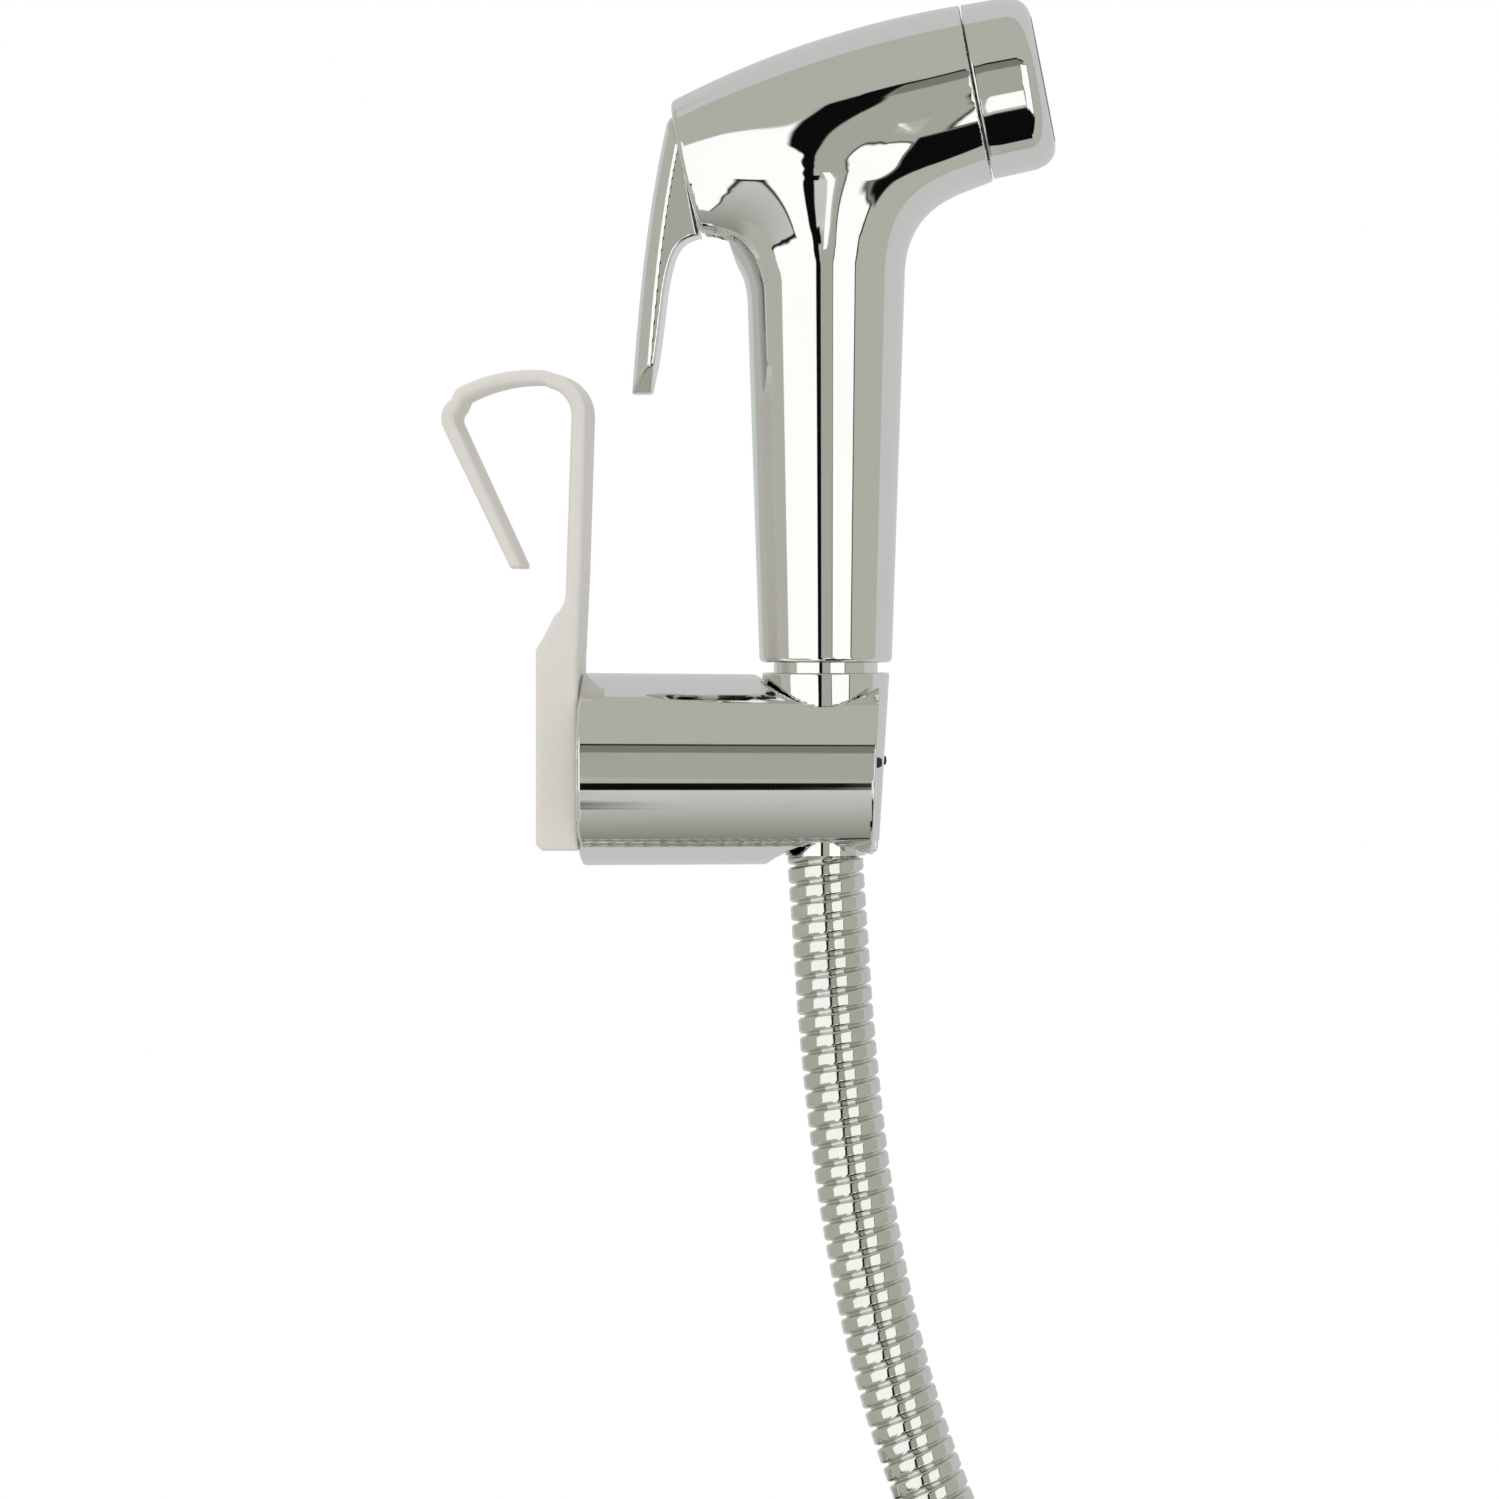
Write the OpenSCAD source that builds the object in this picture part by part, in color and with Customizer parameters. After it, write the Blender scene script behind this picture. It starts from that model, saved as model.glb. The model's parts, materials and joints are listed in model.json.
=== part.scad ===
// Handheld bath sprayer in its tank-hook holder, with a spiral metal hose.
// Millimetres, +Z up, +X out from the tank, Y = 0 is the mirror plane.
// Origin: on the flat back of the hook's pad, level with the holder's axis.

/* [Tank hook] */
// Width of the hook strip across Y
hook_w = 23; // [16:1:30]
// Thickness of the pad that carries the holder
pad_t = 7.9; // [7:0.1:11]
// Height of the pad's lower edge below the holder's axis
pad_drop = 15; // [13:0.5:17]
// Height of the pad's upper edge above the holder's axis
pad_rise = 22.4; // [20:0.5:26]
// Thickness of the stem strip
stem_t = 2.9; // [2.4:0.1:3.4]
// Thickness of the arch and the spring leg
leg_t = 2.5; // [2:0.1:3]
// Height of the arch's top above the holder's axis
arch_z = 74.4; // [70:0.5:84]

/* [Holder] */
// Radius of the horizontal barrel at the hook
holder_r = 18; // [17:0.25:21]
// Radius of the horizontal barrel at its open front
holder_front_r = 17.6; // [16.8:0.1:21]
// Distance of the open front from the tank
holder_front_x = 63; // [62:0.5:68]
// Distance of the handset's axis from the tank
handset_x = 53.5; // [51:0.5:56]
// Clearance between the cone nut and its seat
seat_gap = 0.15; // [0.1:0.05:0.3]
// Opening of the bore at the top, over the nut's radius
bore_flare = 1.6; // [1:0.1:2]
// Clearance between the hose and the jaws' slot
slot_gap = 0.65; // [0.4:0.05:1.2]

/* [Handle] */
// Height of the handle's lower end above the holder's axis
handle_z = 20; // [19:0.5:24]
// Height at which the handle turns into the head
shoulder_z = 97.7; // [90:0.1:112]
// Radius of the handle's lower end
handle_r = 12.3; // [12:0.1:13.5]
// Radius of the handle below the shoulder
grip_r = 14.7; // [14:0.1:15.2]
// Wall of the moulded shell
shell_wall = 2.4; // [1.8:0.1:2.6]

/* [Head] */
// Forward distance of the nozzle seam from the handset's axis
seam_reach = 28; // [27:0.5:32]
// Height of the seam's centre above the shoulder
seam_rise = 28.5; // [28:0.25:31]
// Length of the rear barrel from the seam to the rear cut
barrel_len = 55.9; // [54:0.1:58]
// Tilt of the rear barrel
barrel_tilt = 16; // [15:0.5:17]
// Largest radius of the barrel
barrel_r = 17.7; // [17.2:0.1:18.5]
// Radius of the arc that the barrel's outline follows
barrel_arc = 178; // [160:1:220]
// Tilt of the nozzle's axis
nozzle_tilt = 11; // [9:0.5:13]
// Length of the nozzle cap
cap_len = 13.2; // [12:0.1:16]
// Front rounding of the nozzle cap
cap_round = 4; // [2.5:0.25:4.5]

/* [Trigger] */
// Width of the lever between its flat sides
lever_w = 15; // [12:0.5:15.5]
// Radius of the pivot pin
pivot_r = 1.5; // [1.2:0.1:1.6]
// Clearance of a turning or sliding fit, on the radius
run_gap = 0.06; // [0.03:0.01:0.1]
// Radius of the plunger's rod
rod_r = 2.5; // [2:0.1:2.8]

/* [Hose] */
// Outer radius of the spiral hose
hose_r = 7.1; // [6.5:0.1:7.4]
// Radius of the coil at the middle of its turns
coil_r = 73; // [71:0.5:84]
// Turns in the coil
coil_turns = 2; // [2:1:3]
// Distance between the coil's turns
turn_step = 15; // [14.8:0.1:17]
// Length of the straight tail below the coil
tail_len = 54; // [53:1:80]
// Width across the flats of the far end's nut
end_nut_af = 24; // [23:0.5:27]

/* [Hidden] */
$fn = 64;

eps = 0.01;
cut = 1;
part_gap = 0.05;
thread_r = 9.9;

// Hook outline
stem_x = 6.7;
stem_base_x = pad_t - 2.3;
stem_face_x = stem_x + stem_t;
corner_r = 8;
corner_z = arch_z - corner_r - 0.4;
arch_r = 29.8;
arch_x = -0.75;
bend_r = 4.3;
bend_x = -13.3;
bend_z = arch_z - 9;
leg_tilt = 25.7;
leg_len = 29;
leg_tip_t = 2;
arch_start = 81;
arch_end = 118;

// Holder and cone nut
holder_x = pad_t + 0.3;
holder_len = holder_front_x - holder_x;
nut_top_z = handle_z - 1.9;
nut_bottom_z = -17.5;
nut_top_r = 11.9;
nut_bottom_r = 9.75;
bore_top_r = nut_top_r + bore_flare;
bore_bottom_r = nut_bottom_r + seat_gap;
slot_half = hose_r + slot_gap;
screw_r = 1.6;
screw_head_r = 3.2;
screw_len = 22;
screw_z = 8;
bumper_y = slot_half + 3.4;
bumper_z = 1.5;
bumper_r = 1;

// Inlet stack inside the nut, from the connector down to the hose
connector_z = 7.2;
washer_t = 2.4;
flange_top_z = connector_z - washer_t;
flange_t = 2;
flange_r = 8.8;
flange_z = flange_top_z - flange_t;
ferrule_r = hose_r + 0.4;
ferrule_z = -16;
water_r = 4.5;
plug_r = 10.6;
plug_len = 16;
neck_r = 9.7;

// Head frame
seam_x = handset_x + seam_reach;
seam_z = shoulder_z + seam_rise;
barrel_apex = barrel_len - 19.9;
shoulder_r = 16;
elbow_r = 28;
elbow_turn = 65;
rear_tilt = 13.3;
rear_x = seam_x - barrel_len * cos(barrel_tilt);
rear_z = seam_z - barrel_len * sin(barrel_tilt);
function barrel_out(t) =
    barrel_r - barrel_arc + sqrt(pow(barrel_arc, 2) - pow(t - barrel_apex, 2));

// Valve stations along the barrel, measured forward from the rear cut
pivot_t = 3.1;
pivot_w = 6.6;
ear_r = 2.8;
ear_in = 5.2;
ear_out = 7.4;
flange_t0 = 11;
chamber_t = 18;
seat_t = 32;
seat_wall = 2;
seat_r = 4;
disc_t = seat_t + seat_wall;
disc_thick = 2.4;
disc_r = 5.6;
head_t = 1.6;
chamber_r = 7;
valve_r = 9.5;
outlet_t = 50.8;
spring_r = 4.2;
spring_wire = 0.5;
spring_turns = 6;
pivot_x = rear_x + pivot_t * cos(barrel_tilt) - pivot_w * sin(barrel_tilt);
pivot_z = rear_z + pivot_t * sin(barrel_tilt) + pivot_w * cos(barrel_tilt);
slot_depth = 4.2;
rear_wall = 1.8;
side_gap = 0.4;

// Supply tube
supply_z = handle_z + 12;
supply_top_z = rear_z + (handset_x - rear_x) * tan(barrel_tilt) - 11;
supply_r = 6.4;
supply_bore_r = 4.6;

// Hose route: free stretch as [x, z], then the coil and the tail
route = [
    [handset_x, ferrule_z], [handset_x, ferrule_z - 2], [54.3, -30], [55.3, -45], [56.7, -60], [58.5, -75],
    [60.9, -90], [64, -105], [68.1, -120], [73.3, -135], [79.6, -150],
    [86.3, -165], [92.7, -180], [98, -195], [101.6, -210], [103, -226]
];
coil_x = 103 - coil_r;
coil_z = -226;
coil_y = turn_step * coil_turns;
tail_x = coil_x + coil_r;
tail_z = coil_z - tail_len;
tie_t = 1.2;
tie_angle = 8;

// Far end, measured down from the tail
end_collar_r = hose_r + 0.9;
end_collar_len = 10;
end_neck_r = 7;
end_neck_len = 7;
end_flange_r = 9;
end_flange_t = 2;
end_nut_drop = 11;
end_nut_len = 18;
end_thread_r = 9.32;
end_chamber_r = 10.4;
end_washer_t = 1.8;

function arc(x, z, r, a0, a1, n = 8) =
    [for (i = [0:n]) let(a = a0 + (a1 - a0) * i / n) [x + r * cos(a), z + r * sin(a)]];

// Rings swept along a path: each ring lies across the direction between its neighbours
function unit(v) = v / norm(v);
function heading(p, i) =
    unit(p[min(i + 1, len(p) - 1)] - p[max(i - 1, 0)]);
function ring(c, d, r, n, up) =
    let(s = unit(cross(d, up)), u = cross(d, s))
    [for (k = [0:n - 1]) c + r * (cos(360 * k / n) * s + sin(360 * k / n) * u)];

module swept_tube(path, r, n, up = [0, 1, 0]) {
    count = len(path);
    points = [for (i = [0:count - 1]) each ring(path[i], heading(path, i), r, n, up)];
    walls = [for (i = [0:count - 2]) for (k = [0:n - 1])
        [i * n + k, i * n + (k + 1) % n, (i + 1) * n + (k + 1) % n, (i + 1) * n + k]];
    caps = [[for (k = [n - 1:-1:0]) k], [for (k = [0:n - 1]) (count - 1) * n + k]];
    polyhedron(points, concat(walls, caps));
}

module on_handset() translate([handset_x, 0, 0]) children();

// Barrel frame: x forward along the barrel from the rear cut, z across it
module in_barrel() translate([rear_x, 0, rear_z]) rotate([0, -barrel_tilt, 0]) children();

// Nozzle frame: x forward along the nozzle from the seam
module in_nozzle() translate([seam_x, 0, seam_z]) rotate([0, -nozzle_tilt, 0]) children();

module rod(r, x0, x1) translate([x0, 0, 0]) rotate([0, 90, 0]) cylinder(r = r, h = x1 - x0);

module turned_x(profile) rotate([0, 90, 0]) rotate_extrude() polygon(profile);

module o_ring(x, major, minor) {
    translate([x, 0, 0]) rotate([0, 90, 0]) rotate_extrude() translate([major, 0]) circle(r = minor);
}

module side_cut(x, z, tilt) {
    translate([x, 0, z]) rotate([0, -tilt, 0]) translate([0, -40, -40]) cube([80, 80, 80]);
}

// ---- Bracket ----

module hook_outline() {
    leg = [sin(leg_tilt), -cos(leg_tilt)];
    side = [cos(leg_tilt), sin(leg_tilt)];
    bend = [bend_x, bend_z];
    tip_out = bend - bend_r * side + leg_len * leg;
    inner_bend = bend_r - leg_t;
    polygon(concat(
        [[1.2, -pad_drop], [pad_t, -pad_drop], [pad_t, pad_rise - 2], [8.7, 37]],
        arc(stem_face_x - corner_r, corner_z, corner_r, 0, arch_start, 8),
        arc(arch_x, arch_z - arch_r, arch_r, arch_start + 4, arch_end, 8),
        arc(bend_x, bend_z, bend_r, arch_end + 8, 180 + leg_tilt, 6),
        [tip_out, tip_out + leg_tip_t * side + 0.8 * leg],
        arc(bend_x, bend_z, inner_bend, 180 + leg_tilt, arch_end + 8, 6),
        arc(arch_x, arch_z - arch_r, arch_r - leg_t, arch_end, arch_start + 4, 8),
        arc(stem_face_x - corner_r, corner_z, corner_r - stem_t, arch_start, 0, 6),
        [[stem_base_x, 33]],
        arc(stem_base_x - 5.4, 33, 5.4, -12, -52, 4),
        [[1.3, pad_rise + 2], [0, pad_rise], [0, 1.2 - pad_drop]]
    ));
}

module tank_hook() {
    color("ivory") difference() {
        translate([0, hook_w / 2, 0]) rotate([90, 0, 0]) linear_extrude(hook_w) hook_outline();
        for (z = [-screw_z, screw_z]) translate([0, 0, z]) {
            rod(screw_r + 0.2, -cut, pad_t + cut);
            rod(screw_head_r + 0.2, -cut, 3);
        }
    }
}

module holder() {
    color("silver") difference() {
        translate([holder_x, 0, 0]) rotate([0, 90, 0]) union() {
            cylinder(r1 = holder_r, r2 = holder_front_r, h = holder_len);
            translate([0, 0, pad_t - holder_x]) cylinder(r = holder_r - 0.8, h = holder_x - pad_t + cut);
        }
        on_handset() rotate_extrude() polygon([
            [0, nut_bottom_z - 2], [bore_bottom_r + 1, nut_bottom_z - 2],
            [bore_bottom_r + 1, nut_bottom_z - 0.4], [bore_bottom_r, nut_bottom_z],
            [bore_top_r, nut_top_z], [bore_top_r + 2, nut_top_z + 4], [0, nut_top_z + 4]
        ]);
        translate([handset_x, -slot_half, -holder_r - cut]) {
            cube([holder_front_x - handset_x + cut, 2 * slot_half, 2 * holder_r + 2 * cut]);
        }
        for (z = [-screw_z, screw_z]) translate([0, 0, z]) rod(screw_r, 0, screw_len + 1);
        for (s = [-1, 1]) translate([0, s * bumper_y, bumper_z]) {
            rod(bumper_r, holder_front_x - 1.5, holder_front_x + cut);
        }
    }
}

module hook_screws() {
    color("silver") for (z = [-screw_z, screw_z]) translate([0, 0, z]) difference() {
        turned_x([
            [0, 0.4], [screw_head_r, 0.4], [screw_head_r, 1.4], [screw_r, 3],
            [screw_r, screw_len - 3], [0.2, screw_len], [0, screw_len]
        ]);
        for (a = [0, 90]) rotate([a, 0, 0]) translate([0.3, -1.8, -0.4]) cube([1, 3.6, 0.8]);
    }
}

module jaw_bumpers() {
    color("black") for (s = [-1, 1]) translate([0, s * bumper_y, bumper_z]) {
        turned_x([
            [0, holder_front_x - 1.5], [bumper_r, holder_front_x - 1.5],
            [bumper_r, holder_front_x + 0.8], [0.7 * bumper_r, holder_front_x + 1.4],
            [0, holder_front_x + 1.5]
        ]);
    }
}

// ---- Hose ----

module hose_ferrule() {
    color("gold") on_handset() difference() {
        union() {
            translate([0, 0, ferrule_z]) cylinder(r = ferrule_r, h = flange_z - ferrule_z);
            translate([0, 0, flange_z]) cylinder(r = flange_r, h = flange_t);
        }
        translate([0, 0, ferrule_z - cut]) cylinder(r = water_r, h = 40);
    }
}

module hose() {
    color("silver") swept_tube([for (p = route) [p[0], 0, p[1]]], hose_r, 12);
}

module coil_section(r) {
    for (y = [0, coil_y]) translate([coil_r, y]) circle(r = r);
    translate([coil_r - r, 0]) square([2 * r, coil_y]);
}

module in_coil() translate([coil_x, 0, coil_z]) rotate([-90, 0, 0]) children();

module hose_coil() {
    color("silver") in_coil() rotate_extrude() coil_section(hose_r);
}

module hose_tail() {
    color("silver") swept_tube([
        [tail_x, coil_y, coil_z], [tail_x, coil_y, coil_z - tail_len / 2], [tail_x, coil_y, tail_z]
    ], hose_r, 12);
}

module coil_ties() {
    color("dimgray") in_coil() for (a = [70, 180, 290]) rotate([0, 0, a - tie_angle / 2]) {
        rotate_extrude(angle = tie_angle) difference() {
            coil_section(hose_r + tie_t);
            coil_section(hose_r + part_gap);
        }
    }
}

module at_end() translate([tail_x, coil_y, tail_z]) children();

module end_ferrule() {
    neck_z = -end_collar_len - end_neck_len;
    color("gold") at_end() difference() {
        union() {
            translate([0, 0, -end_collar_len]) cylinder(r = end_collar_r, h = end_collar_len);
            translate([0, 0, neck_z]) cylinder(r = end_neck_r, h = end_neck_len);
            translate([0, 0, neck_z - end_flange_t]) cylinder(r = end_flange_r, h = end_flange_t);
        }
        translate([0, 0, -40]) cylinder(r = water_r, h = 40 - 1.5);
    }
}

module end_nut() {
    top = -end_nut_drop;
    seat = -end_collar_len - end_neck_len;
    color("silver") at_end() difference() {
        intersection() {
            translate([0, 0, top - end_nut_len]) cylinder(d = end_nut_af / cos(30), h = end_nut_len, $fn = 6);
            rotate_extrude() polygon([
                [0, top], [end_nut_af / 2 - 0.6, top], [end_nut_af / 2 + 1.6, top - 1.4],
                [end_nut_af / 2 + 1.6, top - end_nut_len + 1.4],
                [end_nut_af / 2 - 0.6, top - end_nut_len], [0, top - end_nut_len]
            ]);
        }
        translate([0, 0, seat - cut]) cylinder(r = end_neck_r + run_gap, h = 20);
        translate([0, 0, seat - end_flange_t - end_washer_t - 0.2]) {
            cylinder(r = end_chamber_r, h = end_flange_t + end_washer_t + 0.2);
        }
        translate([0, 0, top - end_nut_len - cut]) cylinder(r = end_thread_r, h = end_nut_len);
    }
}

module end_washer() {
    top = -end_collar_len - end_neck_len - end_flange_t;
    color("black") at_end() difference() {
        translate([0, 0, top - end_washer_t]) cylinder(r = end_thread_r - 0.12, h = end_washer_t);
        translate([0, 0, top - end_washer_t - cut]) cylinder(r = water_r + 1, h = end_washer_t + 2 * cut);
    }
}

// ---- Handset ----

module shell_outside() {
    on_handset() rotate_extrude() polygon([
        [0, handle_z], [handle_r - 0.5, handle_z], [handle_r, handle_z + 0.6],
        [handle_r + 0.6, handle_z + 12], [handle_r + 1.1, handle_z + 30],
        [grip_r - 0.8, shoulder_z - 28.7], [grip_r, shoulder_z - 9.7],
        [grip_r + 0.3, shoulder_z - 5.5], [grip_r + 0.8, shoulder_z - 2.6],
        [shoulder_r + 0.15, shoulder_z], [shoulder_r - 2, shoulder_z + 2], [0, shoulder_z + 2]
    ]);
    translate([handset_x + elbow_r, 0, shoulder_z]) rotate([90, 0, 0]) {
        rotate([0, 0, 180 - elbow_turn]) rotate_extrude(angle = elbow_turn) {
            translate([elbow_r, 0]) circle(r = shoulder_r);
        }
    }
    in_barrel() turned_x(concat(
        [[0, -8]],
        [for (i = [0:8]) let(t = -8 + (barrel_len + 12) * i / 8) [barrel_out(t), t]],
        [[0, barrel_len + 4]]
    ));
}

module shell_inside() {
    on_handset() rotate_extrude() polygon([
        [0, handle_z - cut], [plug_r + part_gap, handle_z - cut],
        [plug_r + part_gap, handle_z + plug_len + 1],
        [grip_r - shell_wall - 0.6, shoulder_z - 12],
        [grip_r - shell_wall - 0.6, shoulder_z + 12], [0, shoulder_z + 12]
    ]);
    in_barrel() turned_x(concat(
        [[0, rear_wall]],
        [for (i = [0:6]) let(t = rear_wall + (barrel_len + 6 - rear_wall) * i / 6)
            [barrel_out(t) - shell_wall, t]],
        [[0, barrel_len + 6]]
    ));
    in_barrel() translate([-9, -lever_w / 2 - side_gap, -22]) {
        cube([slot_depth + 9, lever_w + 2 * side_gap, 16]);
        cube([rear_wall + 9 + cut, lever_w + 2 * side_gap, 22 + pivot_w + ear_r + 0.6]);
    }
}

module body_shell() {
    color("silver") difference() {
        shell_outside();
        shell_inside();
        side_cut(seam_x, seam_z, nozzle_tilt);
        side_cut(rear_x, rear_z, 180 + rear_tilt);
    }
}

module inlet_connector() {
    color("gold") on_handset() difference() {
        rotate_extrude() polygon([
            [0, connector_z], [thread_r - 0.8, connector_z], [thread_r, connector_z + 0.8],
            [thread_r, nut_top_z - 1.6], [neck_r, nut_top_z - 1.6], [neck_r, handle_z],
            [plug_r, handle_z], [plug_r, handle_z + 6], [plug_r - 1.1, handle_z + 6],
            [plug_r - 1.1, handle_z + 8.4], [plug_r, handle_z + 8.4],
            [plug_r, handle_z + plug_len], [0, handle_z + plug_len]
        ]);
        translate([0, 0, connector_z - cut]) cylinder(r = 5.2, h = 40);
        translate([0, 0, supply_z]) cylinder(r = supply_r + part_gap, h = 20);
    }
}

module connector_oring() {
    color("black") on_handset() translate([0, 0, handle_z + 7.2]) rotate_extrude() {
        translate([plug_r - 0.55, 0]) circle(r = 0.54);
    }
}

module cone_nut() {
    color("silver") on_handset() difference() {
        rotate_extrude() polygon([
            [0, nut_bottom_z], [nut_bottom_r - 0.5, nut_bottom_z], [nut_bottom_r, nut_bottom_z + 0.5],
            [nut_top_r, nut_top_z - 0.6], [nut_top_r - 0.5, nut_top_z], [0, nut_top_z]
        ]);
        translate([0, 0, flange_top_z]) cylinder(r = thread_r + part_gap, h = 40);
        translate([0, 0, flange_z]) cylinder(r = flange_r + 0.3, h = 10);
        translate([0, 0, nut_bottom_z - cut]) cylinder(r = ferrule_r + run_gap, h = 40);
    }
}

module inlet_washer() {
    color("black") on_handset() difference() {
        translate([0, 0, flange_top_z]) cylinder(r = flange_r, h = washer_t);
        translate([0, 0, flange_top_z - cut]) cylinder(r = 5.4, h = washer_t + 2 * cut);
    }
}

module supply_tube() {
    color("white") on_handset() difference() {
        translate([0, 0, supply_z]) cylinder(r = supply_r, h = supply_top_z - supply_z);
        translate([0, 0, supply_z - cut]) cylinder(r = supply_bore_r, h = 120);
    }
}

module valve_body() {
    color("white") difference() {
        union() {
            in_barrel() {
                rod(valve_r, flange_t0, outlet_t);
                rod(barrel_out(flange_t0) - shell_wall - 0.15, flange_t0, flange_t0 + 2.2);
                rod(13.2, outlet_t - 3, outlet_t);
                for (s = [-1, 1]) translate([0, s * (ear_in + ear_out) / 2, pivot_w]) {
                    translate([pivot_t, (ear_in - ear_out) / 2, -ear_r]) {
                        cube([flange_t0 + 1 - pivot_t, ear_out - ear_in, 2 * ear_r]);
                    }
                    translate([pivot_t, 0, 0]) rotate([90, 0, 0]) {
                        cylinder(r = ear_r, h = ear_out - ear_in, center = true);
                    }
                }
            }
            on_handset() translate([0, 0, supply_top_z - 5]) cylinder(r = supply_r + 1.8, h = 12);
        }
        in_barrel() {
            rod(chamber_r, chamber_t, seat_t);
            rod(chamber_r, disc_t, outlet_t + cut);
            rod(seat_r, chamber_t, outlet_t);
            rod(rod_r + run_gap, 0, chamber_t + cut);
            rod(5.5, flange_t0 - cut, flange_t0 + 3);
            rod(4.3, flange_t0, flange_t0 + 5);
            translate([pivot_t, 0, pivot_w]) rotate([90, 0, 0]) {
                cylinder(r = pivot_r + 0.02, h = 40, center = true);
            }
        }
        on_handset() {
            translate([0, 0, supply_top_z - 6]) cylinder(r = supply_r + part_gap, h = 6);
            translate([0, 0, supply_top_z - 6]) cylinder(r = supply_bore_r, h = 14);
        }
    }
}

module gland_nut() {
    color("gold") in_barrel() difference() {
        rod(5.45, flange_t0, flange_t0 + 3);
        rod(rod_r + run_gap, flange_t0 - cut, flange_t0 + 4);
    }
}

module gland_oring() {
    color("black") in_barrel() o_ring(flange_t0 + 4, rod_r + 0.9, 0.84);
}

module spring_retainer() {
    color("white") in_barrel() difference() {
        rod(chamber_r - part_gap, outlet_t - 2, outlet_t);
        for (a = [0:60:300]) rotate([a, 0, 0]) translate([0, 4.6, 0]) rod(1.3, outlet_t - 3, outlet_t + 1);
        rod(2.2, outlet_t - 3, outlet_t + 1);
    }
}

module pivot_pin() {
    color("silver") in_barrel() translate([pivot_t, 0, pivot_w]) rotate([90, 0, 0]) {
        cylinder(r = pivot_r, h = 2 * ear_out, center = true);
    }
}

module nozzle_base() {
    color("white") in_nozzle() difference() {
        union() {
            rod(13.4, -4, 0);
            rod(12.9, 0, 7);
        }
        rod(6.5, -5, 3);
        rod(11.2, 3, 8);
        o_ring(4, 12.9, 0.9);
    }
}

module nozzle_oring() {
    color("black") in_nozzle() o_ring(4, 12.5, 0.48);
}

module flow_disc() {
    color("white") in_nozzle() difference() {
        rod(11.1, 3, 4.6);
        for (a = [0:45:315]) rotate([a, 0, 0]) translate([0, 7.5, 0]) rod(1.4, 2, 6);
    }
}

module spray_plate() {
    color("gray") in_nozzle() difference() {
        union() {
            rod(12.6, cap_len - 3.6, cap_len - 2);
            rod(11.9, cap_len - 2, cap_len - 0.4);
        }
        rod(0.6, 0, cap_len + 1);
        for (row = [1:3]) for (k = [0:6 * row - 1]) rotate([60 * k / row, 0, 0]) {
            translate([0, 3.2 * row, 0]) rod(0.6, 0, cap_len + 1);
        }
    }
}

module nozzle_cap() {
    face_r = 15.8;
    color("silver") in_nozzle() difference() {
        turned_x(concat(
            [[0, 0.3], [16.1, 0.3], [16.5, 0.7], [16.4, 4]],
            [for (i = [0:6]) let(a = 90 - 15 * i)
                [face_r - cap_round + cap_round * sin(a), cap_len - cap_round + cap_round * cos(a)]],
            [[0, cap_len]]
        ));
        rod(13, -cut, 8);
        rod(12.7, 8 - cut, cap_len - 2);
        rod(12, 8, cap_len + cut);
    }
}

// ---- Trigger ----

module lever_outline() {
    polygon([
        [rear_x - 3, rear_z + 11], [rear_x - 3.7, rear_z + 9.8], [rear_x - 5.1, rear_z + 5],
        [rear_x - 6.4, rear_z - 2.4], [rear_x - 7.6, rear_z - 11], [rear_x - 8.8, rear_z - 21],
        [rear_x - 9.6, rear_z - 32], [rear_x - 10.3, rear_z - 37.5],
        [rear_x - 9.6, rear_z - 41.3], [rear_x - 7.9, rear_z - 41.7], [rear_x - 6.8, rear_z - 40.6],
        [rear_x - 6.2, rear_z - 36.5], [rear_x - 4.8, rear_z - 27.6], [rear_x - 3.8, rear_z - 21],
        [rear_x - 3.2, rear_z - 17.2], [rear_x - 2.2, rear_z - 14], [rear_x - 1, rear_z - 12.2],
        [rear_x + 2.2, rear_z - 11.4], [rear_x - 2, rear_z + 7]
    ]);
}

module trigger_lever() {
    push_t = 0.25;
    color("silver") difference() {
        union() {
            intersection() {
                translate([0, lever_w / 2, 0]) rotate([90, 0, 0]) linear_extrude(lever_w) lever_outline();
                translate([rear_x - 10.4, 0, rear_z - 41.7]) rotate([0, 6.8, 0]) translate([12, 0, -8]) {
                    cylinder(r = 12, h = 80);
                }
            }
            in_barrel() {
                translate([pivot_t, 0, pivot_w]) rotate([90, 0, 0]) {
                    cylinder(r = ear_r, h = 2 * ear_in - 0.6, center = true);
                }
                translate([-3, -ear_in + 0.3, pivot_w - ear_r]) {
                    cube([3 + pivot_t, 2 * ear_in - 0.6, 1.3 * ear_r]);
                }
                translate([-4, -3, -3]) cube([4 + push_t, 6, 6]);
            }
        }
        in_barrel() {
            for (s = [-1, 1]) translate([pivot_t, s * (ear_in + 10 - 0.3), pivot_w]) {
                rotate([90, 0, 0]) cylinder(r = ear_r + 0.35, h = 20, center = true);
            }
            translate([pivot_t, 0, pivot_w]) rotate([90, 0, 0]) {
                cylinder(r = pivot_r + run_gap, h = 40, center = true);
            }
        }
    }
}

module plunger_rod() {
    color("gold") in_barrel() turned_x([
        [0, 0.35], [0.8, 0.45], [1.6, 0.85], [rod_r, 1.8], [rod_r, disc_t + disc_thick],
        [disc_r, disc_t + disc_thick], [disc_r, disc_t + disc_thick + head_t],
        [1.9, disc_t + disc_thick + head_t], [1.9, outlet_t - 3], [0, outlet_t - 3]
    ]);
}

module valve_disc() {
    color("black") in_barrel() difference() {
        rod(disc_r, disc_t, disc_t + disc_thick);
        rod(rod_r, disc_t - cut, disc_t + disc_thick + cut);
    }
}

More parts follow.
